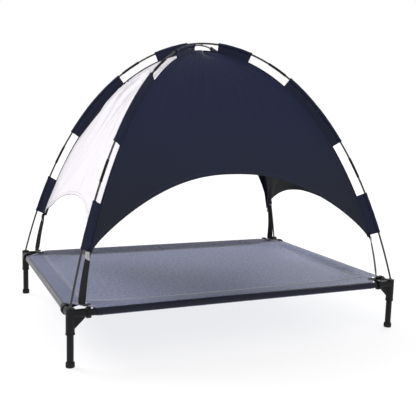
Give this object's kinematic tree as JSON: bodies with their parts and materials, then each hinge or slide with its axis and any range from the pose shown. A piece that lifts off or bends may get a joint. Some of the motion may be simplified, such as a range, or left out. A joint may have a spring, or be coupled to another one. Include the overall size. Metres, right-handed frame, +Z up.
{
  "type": "dog bed with frame",
  "caption": "Raised dog bed: tube frame on short legs, stretched fabric deck, and a lift-off dome canopy with arched sides on two crossed flexible poles.",
  "frame": {"origin": "on the floor, under the middle of the bed", "axes": "+X along the long side, +Y from the front to the rear, +Z up"},
  "size_m": [1.256, 0.936, 1.0611],
  "materials": {
    "frame_steel": "semi-gloss black powder coat",
    "connector_plastic": "moulded black, faint satin",
    "foot_rubber": "matt black rubber",
    "stud_steel": "bright nickel-plated press stud",
    "deck_cloth": "slate-blue coated Oxford weave",
    "canopy_navy": "navy woven polyester",
    "canopy_pale": "pale silver-white woven polyester, dark coated inside",
    "canopy_sleeve": "navy-black woven polyester, double stitched",
    "strap_webbing": "black woven webbing",
    "pole_fibreglass": "dark wrapped fibreglass with black ferrules",
    "elastic_cord": "braided elastic cord"
  },
  "bodies": {
    "bed_frame": {"front_left_connector": "connector_plastic", "front_left_deck_stud": "stud_steel", "front_right_connector": "connector_plastic", "front_right_deck_stud": "stud_steel", "rear_right_connector": "connector_plastic", "rear_right_deck_stud": "stud_steel", "rear_left_connector": "connector_plastic", "rear_left_deck_stud": "stud_steel", "left_rail": "frame_steel", "right_rail": "frame_steel", "front_rail_left_half": "frame_steel", "front_rail_right_half": "frame_steel", "rear_rail_left_half": "frame_steel", "rear_rail_right_half": "frame_steel", "deck_fabric": "deck_cloth"},
    "canopy": {"front_left_strap": "strap_webbing", "front_left_strap_snap": "stud_steel", "front_left_lower_sleeve": "canopy_sleeve", "front_left_middle_sleeve": "canopy_sleeve", "front_left_upper_sleeve": "canopy_sleeve", "front_right_strap": "strap_webbing", "front_right_strap_snap": "stud_steel", "front_right_lower_sleeve": "canopy_sleeve", "front_right_middle_sleeve": "canopy_sleeve", "front_right_upper_sleeve": "canopy_sleeve", "rear_right_strap": "strap_webbing", "rear_right_strap_snap": "stud_steel", "rear_right_lower_sleeve": "canopy_sleeve", "rear_right_middle_sleeve": "canopy_sleeve", "rear_right_upper_sleeve": "canopy_sleeve", "rear_left_strap": "strap_webbing", "rear_left_strap_snap": "stud_steel", "rear_left_lower_sleeve": "canopy_sleeve", "rear_left_middle_sleeve": "canopy_sleeve", "rear_left_upper_sleeve": "canopy_sleeve", "canopy_front_panel": "canopy_navy", "canopy_rear_panel": "canopy_navy", "canopy_left_panel": "canopy_pale", "canopy_right_panel": "canopy_pale", "pole_a_section_1": "pole_fibreglass", "pole_a_section_2": "pole_fibreglass", "pole_a_section_3": "pole_fibreglass", "pole_a_section_4": "pole_fibreglass", "pole_a_section_5": "pole_fibreglass", "pole_a_elastic_cord": "elastic_cord", "pole_b_section_1": "pole_fibreglass", "pole_b_section_2": "pole_fibreglass", "pole_b_section_3": "pole_fibreglass", "pole_b_section_4": "pole_fibreglass", "pole_b_section_5": "pole_fibreglass", "pole_b_elastic_cord": "elastic_cord"},
    "front_left_leg_body": {"front_left_leg": "frame_steel", "front_left_foot_cap": "foot_rubber"},
    "front_right_leg_body": {"front_right_leg": "frame_steel", "front_right_foot_cap": "foot_rubber"},
    "rear_right_leg_body": {"rear_right_leg": "frame_steel", "rear_right_foot_cap": "foot_rubber"},
    "rear_left_leg_body": {"rear_left_leg": "frame_steel", "rear_left_foot_cap": "foot_rubber"}
  },
  "joints": [
    {"name": "canopy_lift", "type": "slide", "parent": "bed_frame", "child": "canopy", "axis": [0, 0, 1], "range_m": [0, 0.3]},
    {"name": "front_left_leg_pull", "type": "slide", "parent": "bed_frame", "child": "front_left_leg_body", "axis": [0, 0, -1], "range_m": [0, 0.055]},
    {"name": "front_right_leg_pull", "type": "slide", "parent": "bed_frame", "child": "front_right_leg_body", "axis": [0, 0, -1], "range_m": [0, 0.055]},
    {"name": "rear_right_leg_pull", "type": "slide", "parent": "bed_frame", "child": "rear_right_leg_body", "axis": [0, 0, -1], "range_m": [0, 0.055]},
    {"name": "rear_left_leg_pull", "type": "slide", "parent": "bed_frame", "child": "rear_left_leg_body", "axis": [0, 0, -1], "range_m": [0, 0.055]}
  ]
}
